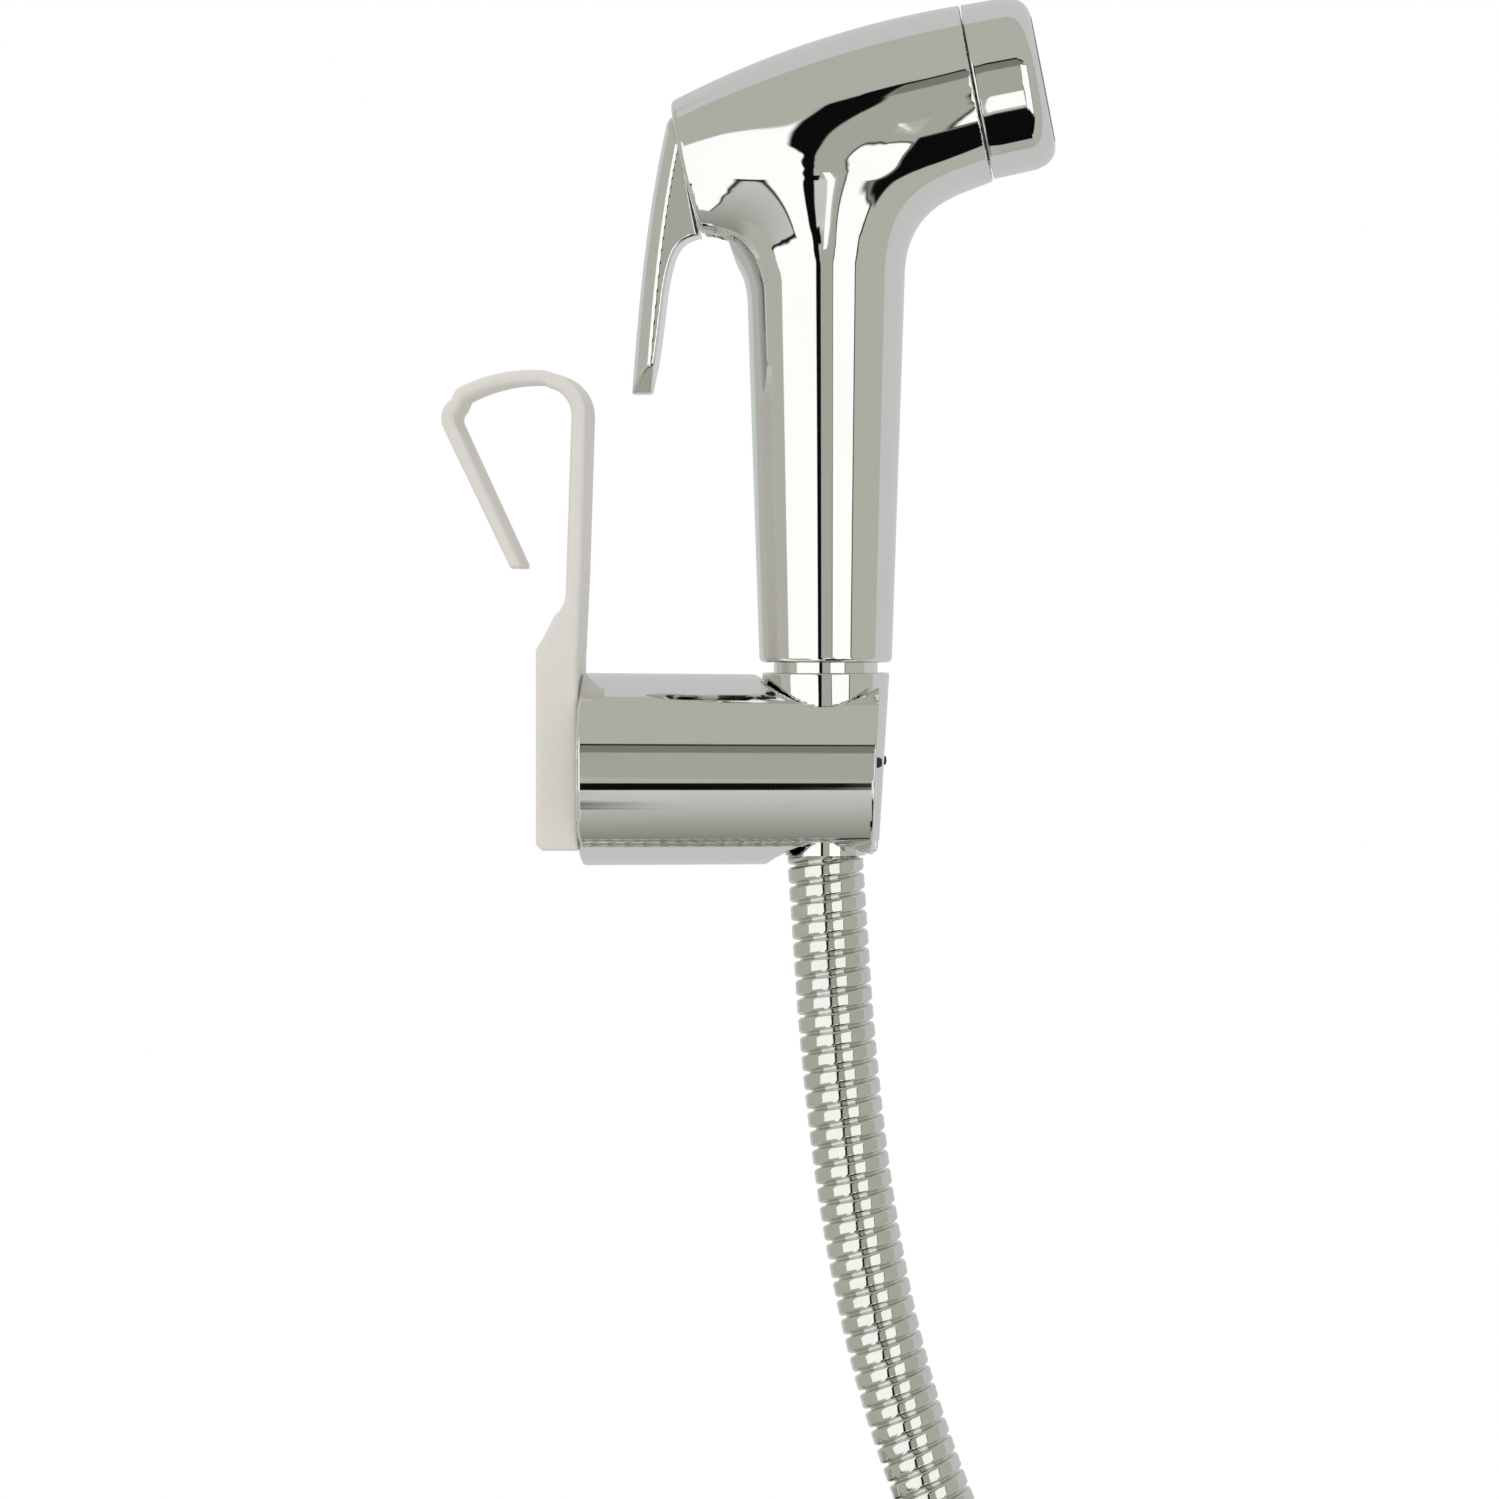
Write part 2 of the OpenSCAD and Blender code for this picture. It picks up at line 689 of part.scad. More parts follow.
module valve_spring() {
    start = disc_t + disc_thick + head_t + spring_wire;
    length = outlet_t - 2 - spring_wire - start;
    color("silver") in_barrel() swept_tube([
        for (i = [0:12 * spring_turns]) let(a = 30 * i) [
            start + length * i / (12 * spring_turns), spring_r * cos(a), spring_r * sin(a)
        ]
    ], spring_wire, 6, [1, 0, 0]);
}

tank_hook();
holder();
hook_screws();
jaw_bumpers();
hose_ferrule();
hose();
hose_coil();
hose_tail();
coil_ties();
end_ferrule();
end_nut();
end_washer();
body_shell();
inlet_connector();
connector_oring();
cone_nut();
inlet_washer();
supply_tube();
valve_body();
gland_nut();
gland_oring();
spring_retainer();
pivot_pin();
nozzle_base();
nozzle_oring();
flow_disc();
spray_plate();
nozzle_cap();
trigger_lever();
plunger_rod();
valve_disc();
valve_spring();
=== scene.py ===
import json
import math

import bpy
import numpy as np
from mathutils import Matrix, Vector


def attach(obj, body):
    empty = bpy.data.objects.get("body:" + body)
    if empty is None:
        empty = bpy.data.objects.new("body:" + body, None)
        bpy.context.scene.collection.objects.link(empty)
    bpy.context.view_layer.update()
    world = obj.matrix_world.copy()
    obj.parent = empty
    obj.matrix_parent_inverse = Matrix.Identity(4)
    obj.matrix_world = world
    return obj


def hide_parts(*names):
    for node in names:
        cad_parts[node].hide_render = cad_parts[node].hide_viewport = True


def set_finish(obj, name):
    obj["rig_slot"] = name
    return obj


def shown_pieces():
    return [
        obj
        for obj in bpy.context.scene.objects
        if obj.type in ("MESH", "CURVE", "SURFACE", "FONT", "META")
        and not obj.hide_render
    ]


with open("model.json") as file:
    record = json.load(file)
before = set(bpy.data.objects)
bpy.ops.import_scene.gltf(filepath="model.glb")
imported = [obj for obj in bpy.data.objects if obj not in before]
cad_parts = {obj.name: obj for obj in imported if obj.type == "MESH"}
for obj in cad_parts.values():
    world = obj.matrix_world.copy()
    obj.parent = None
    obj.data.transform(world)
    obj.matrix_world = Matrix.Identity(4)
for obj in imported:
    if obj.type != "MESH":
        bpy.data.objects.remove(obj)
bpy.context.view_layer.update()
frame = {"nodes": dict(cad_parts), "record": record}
scene = bpy.context.scene
nodes = frame["nodes"]


def toLinear(text):
    parts = [int(text[i:i + 2], 16) / 255 for i in (1, 3, 5)]
    return [c / 12.92 if c <= 0.04045 else ((c + 0.055) / 1.055) ** 2.4 for c in parts] + [1]


def addNode(tree, kind, settings=None, links=None):
    node = tree.nodes.new(kind)
    for key, value in (settings or {}).items():
        setattr(node, key, value)
    for key, value in (links or {}).items():
        if isinstance(value, bpy.types.NodeSocket):
            tree.links.new(value, node.inputs[key])
        else:
            node.inputs[key].default_value = value
    return node


def makePiece(name, points, faces, body, stands=(), slot=None, sharp=40, normals=None):
    # Points come in millimetres, in the row frame
    mesh = bpy.data.meshes.new(name)
    mesh.from_pydata((np.asarray(points, float) / 1000).tolist(), [], [list(f) for f in faces])
    mesh.update()
    mesh.shade_smooth()
    if normals is not None:
        mesh.normals_split_custom_set_from_vertices(np.asarray(normals, float).tolist())
    elif sharp:
        mesh.set_sharp_from_angle(angle=math.radians(sharp))
    piece = bpy.data.objects.new(name, mesh)
    scene.collection.objects.link(piece)
    if stands:
        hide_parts(*stands)
    if body:
        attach(piece, body)
    if slot:
        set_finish(piece, slot)
    return piece


# Camera: level with the holder, a little to the right of square on
camera = {"azimuth": 3.0, "elevation": 1.0, "distance": 1.6, "lens": 205.6,
          "target": (0.03925, 0.0, 0.0037)}
turn, rise = math.radians(camera["azimuth"]), math.radians(camera["elevation"])
back = Vector((math.sin(turn) * math.cos(rise), -math.cos(turn) * math.cos(rise), math.sin(rise)))
eye = bpy.data.objects.new("eye", bpy.data.cameras.new("eye"))
scene.collection.objects.link(eye)
eye.data.lens = camera["lens"]
eye.data.sensor_width = 36
eye.location = Vector(camera["target"]) + back * camera["distance"]
eye.rotation_euler = (-back).to_track_quat("-Z", "Y").to_euler()
scene.camera = eye

# Spiral hose: an open stretch, two hanging turns and a short tail
hose = {"radius": 7.1, "pitch": 3.5, "around": 32, "coilRadius": 73, "coilX": 30, "coilZ": -226,
        "turns": 2, "turnStep": 15, "tail": 54}
route = [
    (0.0535, 0, -0.016), (0.0535, 0, -0.018), (0.0543, 0, -0.030), (0.0553, 0, -0.045),
    (0.0567, 0, -0.060), (0.0585, 0, -0.075), (0.0609, 0, -0.090), (0.0640, 0, -0.105),
    (0.0681, 0, -0.120), (0.0733, 0, -0.135), (0.0796, 0, -0.150), (0.0863, 0, -0.165),
    (0.0927, 0, -0.180), (0.0980, 0, -0.195), (0.1016, 0, -0.210),
]
for i in range(hose["turns"] * 24 + 1):
    a = math.radians(15 * i)
    route.append(((hose["coilX"] + hose["coilRadius"] * math.cos(a)) / 1000,
                  hose["turnStep"] * i / 24 / 1000,
                  (hose["coilZ"] - hose["coilRadius"] * math.sin(a)) / 1000))
tailX = hose["coilX"] + hose["coilRadius"]
coilDepth = hose["turnStep"] * hose["turns"]
for i in range(1, 5):
    route.append((tailX / 1000, coilDepth / 1000, (hose["coilZ"] - hose["tail"] * i / 4) / 1000))


def smoothLine(points, parts):
    p = np.asarray(points, float)
    p = np.vstack([2 * p[0] - p[1], p, 2 * p[-1] - p[-2]])
    t = np.linspace(0, 1, parts, endpoint=False)[:, None]
    line = []
    for i in range(1, len(p) - 2):
        a, b, c, d = p[i - 1:i + 3]
        line.append(0.5 * (2 * b + (c - a) * t + (2 * a - 5 * b + 4 * c - d) * t ** 2
                           + (3 * b - a - 3 * c + d) * t ** 3))
    return np.vstack(line + [p[-2][None]])


def carriedFrame(line, side):
    # Side and third direction at each point, carried along the line without twist
    tangent = np.gradient(line, axis=0)
    tangent /= np.linalg.norm(tangent, axis=1)[:, None]
    sides = np.zeros_like(line)
    now = np.asarray(side, float)
    for i, t in enumerate(tangent):
        now = now - t * now.dot(t)
        now /= np.linalg.norm(now)
        sides[i] = now
    return sides, np.cross(tangent, sides)


hoseLine = smoothLine(np.asarray(route) * 1000, 24)
hoseRun = np.concatenate([[0], np.cumsum(np.linalg.norm(np.diff(hoseLine, axis=0), axis=1))])
hoseSide, hoseThird = carriedFrame(hoseLine, (1, 0, 0))

# One winding of the strip: dark groove, round shoulder, shallow hollow, round shoulder
windingAcross = np.array([0, 0.07, 0.09, 0.14, 0.21, 0.3, 0.5, 0.7, 0.79, 0.86, 0.91, 0.93])
windingRadius = np.array([5.8, 5.9, 6.6, 6.9, 7.06, 7.1, 7.05, 7.1, 7.06, 6.9, 6.6, 5.9])
columns = len(windingAcross)
count = int((hoseRun[-1] / hose["pitch"] + 1) * hose["around"])
step = np.arange(count)
angle = 2 * math.pi * step / hose["around"]
along = (step / hose["around"] - 1)[:, None] * hose["pitch"] + windingAcross * hose["pitch"]
along = np.clip(along, 0, hoseRun[-1])
place = [np.interp(along, hoseRun, hoseLine[:, i]) for i in range(3)]
beside = [np.interp(along, hoseRun, hoseSide[:, i]) for i in range(3)]
third = [np.interp(along, hoseRun, hoseThird[:, i]) for i in range(3)]
cosine, sine = np.cos(angle)[:, None], np.sin(angle)[:, None]
hosePoints = np.stack([
    place[i] + windingRadius * (cosine * beside[i] + sine * third[i]) for i in range(3)
], axis=2).reshape(-1, 3)
k, j = np.meshgrid(np.arange(count - 1), np.arange(columns), indexing="ij")
nextK = np.where(j == columns - 1, k + hose["around"], k)
nextJ = np.where(j == columns - 1, 0, j + 1)
whole = nextK + 1 < count
hoseFaces = np.stack([k * columns + j, (k + 1) * columns + j,
                      (nextK + 1) * columns + nextJ, nextK * columns + nextJ], axis=2)[whole]
spiral = makePiece("spiralHose", hosePoints, hoseFaces, "hose",
                   ("hose", "hose_coil", "hose_tail"), "hose_metal", sharp=None)

# Woven straps round the two strands of the coil
strap = {"angles": (70, 180, 290), "width": 10, "thick": 1.1, "across": 13, "around": 64}
strapPoints, strapFaces = [], []
for a in strap["angles"]:
    turned = math.radians(a)
    out = np.array([math.cos(turned), 0, -math.sin(turned)])
    ahead = np.array([-math.sin(turned), 0, -math.cos(turned)])
    deep = np.array([0, 1, 0])
    middle = np.array([hose["coilX"], hose["turnStep"] * (a / 360 + 0.5), hose["coilZ"]])
    middle = middle + out * hose["coilRadius"]
    half = hose["turnStep"] / 2
    rings = []
    for lift, w in [(0.15, -0.5), (strap["thick"] - 0.2, -0.5), (strap["thick"], -0.46)] + [
        (strap["thick"] + 0.06 * math.cos(6 * i), -0.46 + 0.92 * i / (strap["across"] - 1))
        for i in range(1, strap["across"] - 1)
    ] + [(strap["thick"], 0.46), (strap["thick"] - 0.2, 0.5), (0.15, 0.5)]:
        ring = []
        for i in range(strap["around"]):
            b = 2 * math.pi * i / strap["around"]
            r = hose["radius"] + lift
            centre = middle + deep * (half if math.sin(b) >= 0 else -half)
            ring.append(centre + r * (math.cos(b) * out + math.sin(b) * deep)
                        + ahead * w * strap["width"])
        rings.append(ring)
    base = len(strapPoints)
    for ring in rings:
        strapPoints.extend(ring)
    for i in range(len(rings)):
        for q in range(strap["around"]):
            n = (i + 1) % len(rings)
            p = (q + 1) % strap["around"]
            strapFaces.append([base + i * strap["around"] + q, base + n * strap["around"] + q,
                               base + n * strap["around"] + p, base + i * strap["around"] + p])
coilStraps = makePiece("coilStraps", strapPoints, strapFaces, "hose", ("coil_ties",), "tie_fabric",
                       sharp=50)

print("camera and hose made, hose line", round(hoseRun[-1]), "mm")


# Round forms are written as a distance to their surface, below zero inside
def smoothUnion(a, b, k):
    h = np.clip(k - np.abs(a - b), 0, None) / k
    return np.minimum(a, b) - h * h * k / 4


def roundCut(a, b, r):
    return np.minimum(-r, np.maximum(a, b)) + np.hypot(np.clip(a + r, 0, None), np.clip(b + r, 0, None))


def fieldMesh(field, low, high, step):
    axes = [np.arange(a, b + step, step) for a, b in zip(low, high)]
    value = field(*np.meshgrid(*axes, indexing="ij"))
    inside = value < 0
    size = np.array(value.shape) - 1
    total = sum(
        inside[a:size[0] + a, b:size[1] + b, c:size[2] + c].astype(np.int8)
        for a in (0, 1) for b in (0, 1) for c in (0, 1)
    )
    cells = np.argwhere((total > 0) & (total < 8))
    spot, hits = np.zeros((len(cells), 3)), np.zeros(len(cells))
    for axis in range(3):
        b, c = (axis + 1) % 3, (axis + 2) % 3
        for db in (0, 1):
            for dc in (0, 1):
                start = cells.copy()
                start[:, b] += db
                start[:, c] += dc
                end = start.copy()
                end[:, axis] += 1
                v0, v1 = value[tuple(start.T)], value[tuple(end.T)]
                crossed = (v0 < 0) != (v1 < 0)
                share = np.where(crossed, v0 / np.where(crossed, v0 - v1, 1), 0)
                spot += np.where(crossed[:, None], start + share[:, None] * (end - start), 0)
                hits += crossed
    points = np.array(low) + spot / hits[:, None] * step

    def slope(p):
        h = 0.01
        offset = np.eye(3) * h
        return np.stack([
            field(*(p + offset[i]).T) - field(*(p - offset[i]).T) for i in range(3)
        ], axis=1) / (2 * h)

    for again in range(4):
        rise = slope(points)
        move = (field(*points.T) / np.maximum((rise ** 2).sum(1), 0.05))[:, None] * rise
        points -= np.clip(move, -0.6 * step, 0.6 * step)
    normals = slope(points)
    normals /= np.maximum(np.linalg.norm(normals, axis=1), 1e-9)[:, None]
    number = -np.ones(size, int)
    number[tuple(cells.T)] = np.arange(len(cells))
    quads = []
    for axis in range(3):
        b, c = (axis + 1) % 3, (axis + 2) % 3
        lower = np.take(inside, range(size[axis]), axis)
        upper = np.take(inside, range(1, size[axis] + 1), axis)
        edges = np.argwhere(lower != upper)
        keep = (edges[:, b] > 0) & (edges[:, c] > 0) & (edges[:, b] < size[b]) & (edges[:, c] < size[c])
        edges = edges[keep]
        corners = []
        for db, dc in ((0, 0), (-1, 0), (-1, -1), (0, -1)):
            at = edges.copy()
            at[:, b] += db
            at[:, c] += dc
            corners.append(number[tuple(at.T)])
        quad = np.stack(corners, axis=1)
        turned = ~lower[tuple(edges.T)]
        quad[turned] = quad[turned][:, ::-1]
        quads.append(quad)
    return points, np.vstack(quads), normals


def lathe(profile, around, place):
    # Profile points are (radius, along); place turns local points into the row frame
    profile = np.asarray(profile, float)
    a = 2 * math.pi * np.arange(around) / around
    radius, along = profile[:, 0][:, None], profile[:, 1][:, None]
    local = np.stack([radius * np.cos(a), radius * np.sin(a), along + 0 * a], axis=2).reshape(-1, 3)
    faces = []
    rows = len(profile)
    for i in range(rows):
        n = (i + 1) % rows
        for q in range(around):
            p = (q + 1) % around
            faces.append([i * around + q, i * around + p, n * around + p, n * around + q])
    return place(local), faces


def rounded(profile, r, parts=4):
    # Rounds each corner of a closed profile of (x, y, own radius or None)
    done = []
    total = len(profile)
    for i, point in enumerate(profile):
        own = point[2] if len(point) > 2 else r
        here = np.array(point[:2], float)
        before = np.array(profile[i - 1][:2], float)
        after = np.array(profile[(i + 1) % total][:2], float)
        a, b = before - here, after - here
        la, lb = np.linalg.norm(a), np.linalg.norm(b)
        a, b = a / la, b / lb
        angle = math.acos(max(-1, min(1, a.dot(b))))
        if own < 0.01 or angle > math.radians(176):
            done.append(here)
            continue
        back = min(own / math.tan(angle / 2), 0.45 * la, 0.45 * lb)
        for s in range(parts + 1):
            t = s / parts
            done.append((1 - t) ** 2 * (here + a * back) + 2 * t * (1 - t) * here
                        + t ** 2 * (here + b * back))
    return done


# Handset: a slightly conical handle flowing into a tilted barrel with a bowed outline
head = {"handsetX": 53.5, "handleZ": 20, "handleRadius": 12.42, "handleSlope": 0.0333,
        "barrelRadius": 17.7, "barrelArc": 178, "barrelApex": 36, "barrelTilt": 16,
        "rearX": 27.765, "rearZ": 110.792, "rearTilt": 13.3, "seamX": 81.5, "seamZ": 126.2,
        "nozzleTilt": 11, "blend": 11, "wall": 2.4, "rearWall": 1.8, "rearFoot": 82,
        "plugRadius": 10.65, "plugDepth": 17, "step": 0.55}
# Lever's mouth and the slit above it, as (depth, middle, half height) along the tilted barrel
leverRoom = {"half": 7.9, "mouth": (4.2, -14, 8), "slit": (head["rearWall"] + 0.6, -6, 16)}
barrelCos, barrelSin, rearCos, rearSin, noseCos, noseSin = [
    turned(math.radians(head[tilt])) for tilt in ("barrelTilt", "rearTilt", "nozzleTilt")
    for turned in (math.cos, math.sin)]


def inBarrel(x, z):
    dx, dz = x - head["rearX"], z - head["rearZ"]
    return dx * barrelCos + dz * barrelSin, dz * barrelCos - dx * barrelSin


def rearPlane(x, z):
    return -(x - head["rearX"]) * rearCos - (z - head["rearZ"]) * rearSin


def seamPlane(x, z):
    return (x - head["seamX"]) * noseCos + (z - head["seamZ"]) * noseSin


def headSkin(x, y, z):
    rise = z - 22
    handle = np.hypot(x - head["handsetX"], y) - head["handleRadius"] - head["handleSlope"] * rise
    handle = roundCut(handle, z - 113, 4)
    t, w = inBarrel(x, z)
    bow = np.sqrt(head["barrelArc"] ** 2 - (t - head["barrelApex"]) ** 2)
    outline = head["barrelRadius"] - head["barrelArc"] + bow
    lean = (t - head["barrelApex"]) / bow
    barrel = (np.hypot(w, y) - outline) / np.sqrt(1 + lean ** 2)
    return smoothUnion(handle, barrel, head["blend"])


def shellField(x, y, z):
    skin = headSkin(x, y, z)
    t, w = inBarrel(x, z)
    # The rear plane stops above the grip, which it would cut further down
    rear = np.where(z > head["rearFoot"], rearPlane(x, z), -40)
    outer = roundCut(skin, rear, 0.9)
    outer = roundCut(outer, seamPlane(x, z), 0.3)
    outer = roundCut(outer, head["handleZ"] - z, 0.9)
    hollow = roundCut(skin + head["wall"], rear + head["rearWall"], 0.5)
    plugTop = head["handleZ"] + head["plugDepth"]
    plugRoom = np.maximum(np.hypot(x - head["handsetX"], y) - head["plugRadius"], z - plugTop)
    handleRoom = np.where(z < plugTop, np.maximum(hollow, plugTop - z), hollow)
    hollow = np.minimum(handleRoom, plugRoom)
    for depth, middle, half in (leverRoom["mouth"], leverRoom["slit"]):
        room = np.maximum(t - depth, np.abs(w - middle) - half)
        hollow = np.minimum(hollow, roundCut(np.abs(y) - leverRoom["half"], room, 0.4))
    return roundCut(outer, -hollow, 0.25)


points, faces, normals = fieldMesh(shellField, (22, -19, 18.5), (91, 19, 148), head["step"])
makePiece("handsetShell", points, faces, "handset", ("body_shell",), "shell_chrome", normals=normals)
print("handset shell made,", len(faces), "faces")

# Nozzle cap with a soft front rounding, turned about the nozzle's own axis
cap = {"length": 12.7, "round": 4.1, "radius": 16.25, "lip": 0.25, "bore": 13, "frontRadius": 12.05,
       "rim": 12, "seat": 12.7, "around": 160}


def alongNozzle(p):
    return np.stack([
        head["seamX"] + p[:, 2] * noseCos - p[:, 0] * noseSin, p[:, 1],
        head["seamZ"] + p[:, 2] * noseSin + p[:, 0] * noseCos
    ], axis=1)


arc = [math.radians(7.5 * i) for i in range(13)]
capBack, capFront = 0.3, cap["length"]
capProfile = [(cap["bore"], capBack), (cap["radius"], capBack)]
capProfile += [(cap["radius"] + cap["lip"] * math.sin(b), capBack + cap["lip"] * (1 - math.cos(b)))
               for b in arc[1::3]]
capProfile += [(16.45 - 0.05 * i, 0.9 + 2 * i) for i in range(5)]
capProfile += [(cap["frontRadius"] + 4.05 * math.cos(b), capFront - cap["round"] * (1 - math.sin(b)))
               for b in arc]
capProfile += [(cap["rim"], capFront - 0.25), (cap["rim"], capFront - 2), (cap["seat"], capFront - 2),
               (cap["seat"], 8), (cap["bore"], 8)]
points, faces = lathe([np.array(p, float) for p in capProfile], cap["around"], alongNozzle)
makePiece("nozzleCap", points, [f[::-1] for f in faces], "handset", ("nozzle_cap",), "shell_chrome",
          sharp=35)

# Soft nubs round the spray plate's holes
nub = {"pitch": 3.2, "base": 1.15, "tip": 0.85, "hole": 0.55, "height": 1.1}
nubPoints, nubFaces = [], []
face = cap["length"] - 0.4
nubTop = face + nub["height"] - 0.6
nubProfile = rounded([(nub["hole"], face - 0.6), (nub["base"], face - 0.05), (nub["tip"], nubTop),
                      (nub["hole"], nubTop)], 0.12, 3)
for row in range(4):
    for spot in range(max(1, 6 * row)):
        b = math.radians(60 * spot / row) if row else 0
        dy, dz = nub["pitch"] * row * math.cos(b), nub["pitch"] * row * math.sin(b)
        points, faces = lathe(nubProfile, 20, lambda p: alongNozzle(p + np.array([dz, dy, 0])))
        nubFaces += [[len(nubPoints) + v for v in f[::-1]] for f in faces]
        nubPoints += points.tolist()
makePiece("sprayNubs", nubPoints, nubFaces, "handset", (), "spray_face", sharp=50)
print("nozzle made")

# Trigger lever: crowned outer skin between two flat sides
lever = {"half": 7.5, "crown": 10.9, "top": 121.9, "bottom": 70.0, "corner": 5.4, "gap": 0.42,
         "pivotDepth": 3.1, "pivotRise": 6.6, "lug": 2.8, "lugHalf": 4.9, "bore": 1.57, "nose": 3,
         "step": 0.28}
outerLine = np.array([(22.4, 114), (21.5, 108.4), (20.6, 102.8), (19.7, 97.2), (18.95, 89.7),
                      (18.4, 83.2), (17.95, 78.5), (17.55, 73.8), (17.3, 70.1)])
innerLine = np.array([(26.3, 98), (25.2, 95.3), (24.5, 93.5), (23.9, 89.7), (23.0, 83.2), (22.4, 78.5),
                      (21.7, 73.8), (21.1, 69.2)])
outerCurve = np.polyfit(outerLine[:, 1] - 95, outerLine[:, 0], 3)
innerCurve = np.polyfit(innerLine[:, 1] - 85, innerLine[:, 0], 4)


def leverField(x, y, z):
    outerX = np.polyval(outerCurve, z - 95) + lever["crown"] - np.sqrt(
        np.maximum(lever["crown"] ** 2 - y ** 2, 4))
    skin = (outerX - x) * 0.9
    skin = roundCut(skin, z - lever["top"] + 0.25 * (24 - x), 1.6)
    middle, half = (lever["top"] + lever["bottom"]) / 2, (lever["top"] - lever["bottom"]) / 2
    outline = roundCut(np.abs(y) - lever["half"], np.abs(z - middle) - half, 1.2)
    bevel = (np.abs(y) - lever["half"] + np.abs(z - middle) - half + lever["corner"]) * 0.707
    outline = roundCut(outline, bevel, 0.4)
    tail = (x - np.polyval(innerCurve, np.clip(z, 68, 99) - 85)) * 0.97
    base = np.maximum(-rearPlane(x, z) + lever["gap"], 99.3 - z)
    inner = smoothUnion(tail, base, 3.5)
    form = roundCut(roundCut(skin, outline, 0.45), inner, 0.6)
    t, w = inBarrel(x, z)
    fromPin = np.hypot(t - lever["pivotDepth"], w - lever["pivotRise"])
    neck = np.maximum(np.abs(w - 6.2) - 2.3, np.maximum(t - lever["pivotDepth"], -1.2 - t))
    lug = roundCut(np.minimum(fromPin - lever["lug"], neck), np.abs(y) - lever["lugHalf"], 0.3)
    nose = roundCut(np.hypot(w, y) - lever["nose"], np.maximum(t - 0.25, -1.5 - t), 0.3)
    form = np.minimum(form, np.minimum(lug, nose))
    return np.maximum(form, lever["bore"] - fromPin)


points, faces, normals = fieldMesh(leverField, (15.5, -8.5, 68), (33, 8.5, 124), lever["step"])
makePiece("triggerLever", points, faces, "lever", ("trigger_lever",), "lever_chrome", normals=normals)
print("trigger lever made,", len(faces), "faces")

# Holder: horizontal barrel with a conical upright bore, open to the front
hold = {"backX": 8.2, "radius": 18, "slope": 0.0073, "frontX": 63.6, "frontLean": 0.045,
        "boreTop": 13.0, "boreBottom": 10.9, "slot": 7.75, "rimRadius": 17.2, "rim": (7.9, 9.5),
        "screwRadius": 1.6, "screwRise": 8, "screwDepth": 23, "step": 0.5}


def holderField(x, y, z):
    barrel = np.hypot(y, z) - hold["radius"] + hold["slope"] * (x - hold["backX"])
    ends = np.maximum(hold["backX"] - x, x - hold["frontX"] - hold["frontLean"] * z)
    form = roundCut(barrel, ends, 0.45)
    rim = np.maximum(hold["rim"][0] - x, x - hold["rim"][1])
    form = np.minimum(form, roundCut(np.hypot(y, z) - hold["rimRadius"], rim, 0.1))
    bore = np.hypot(x - head["handsetX"], y) - (hold["boreTop"] + hold["boreBottom"]) / 2 - (
        hold["boreTop"] - hold["boreBottom"]) / 36 * z
    slot = np.maximum(np.abs(y) - hold["slot"], head["handsetX"] - x)
    room = smoothUnion(bore, slot, 1.0)
    form = roundCut(form, -room, 0.45)
    for s in (-1, 1):
        screw = hold["screwRadius"] - np.hypot(y, z - hold["screwRise"] * s)
        form = np.maximum(form, np.minimum(screw, hold["screwDepth"] - x))
    return form


points, faces, normals = fieldMesh(holderField, (7, -19, -19), (67, 19, 19), hold["step"])
makePiece("holderBarrel", points, faces, "bracket", ("holder",), "holder_chrome", normals=normals)
print("holder made,", len(faces), "faces")

# Cone nut, with its lower end drawn up inside the bore
nut = {"topZ": 18.1, "topRadius": 11.9, "bottomZ": -13.5, "bottomRadius": 10.0, "around": 160}
nutProfile = rounded([
    (7.58, nut["bottomZ"], 0.3), (nut["bottomRadius"], nut["bottomZ"], 0.6),
    (nut["topRadius"], nut["topZ"], 0.5), (10.0, nut["topZ"], 0.25), (10.0, 5.2, 0),
    (9.2, 5.2, 0), (9.2, 2.7, 0), (7.58, 2.7, 0)], 0.3, 6)


def onHandset(p):
    return p + np.array([head["handsetX"], 0, 0])


points, faces = lathe(nutProfile, nut["around"], onHandset)
makePiece("coneNut", points, faces, "handset", ("cone_nut",), "nut_chrome", sharp=35)

# Tank hook: a sprung plastic strip with softened edges
hookShape = {"width": 23, "edge": 0.9, "headDepth": 3, "headRoom": 3.4, "shankRoom": 1.8, "step": 0.55}


def arcPoints(x, z, r, start, end, parts):
    return [(x + r * math.cos(math.radians(start + (end - start) * i / parts)),
             z + r * math.sin(math.radians(start + (end - start) * i / parts))) for i in range(parts + 1)]


leg = (math.sin(math.radians(25.7)), -math.cos(math.radians(25.7)))
legSide = (-leg[1], leg[0])
tipOut = (-13.3 - 4.3 * legSide[0] + 29 * leg[0], 65.4 - 4.3 * legSide[1] + 29 * leg[1])
tipIn = (tipOut[0] + 2 * legSide[0] + 0.8 * leg[0], tipOut[1] + 2 * legSide[1] + 0.8 * leg[1])
hookLine = [(1.2, -15), (7.9, -15), (7.9, 20.4), (8.7, 37)]
hookLine += arcPoints(1.6, 66.0, 8, 0, 81, 16)
hookLine += arcPoints(-0.75, 44.6, 29.8, 85, 118, 20)
hookLine += arcPoints(-13.3, 65.4, 4.3, 126, 205.7, 12)
hookLine += [tipOut, tipIn]
hookLine += arcPoints(-13.3, 65.4, 1.8, 205.7, 126, 12)
hookLine += arcPoints(-0.75, 44.6, 27.3, 118, 85, 20)
hookLine += arcPoints(1.6, 66.0, 5.1, 81, 0, 12)
hookLine += [(5.6, 33)]
hookLine += arcPoints(0.2, 33, 5.4, -12, -52, 8)
hookLine += [(1.3, 24.4), (0, 22.4), (0, -13.8)]


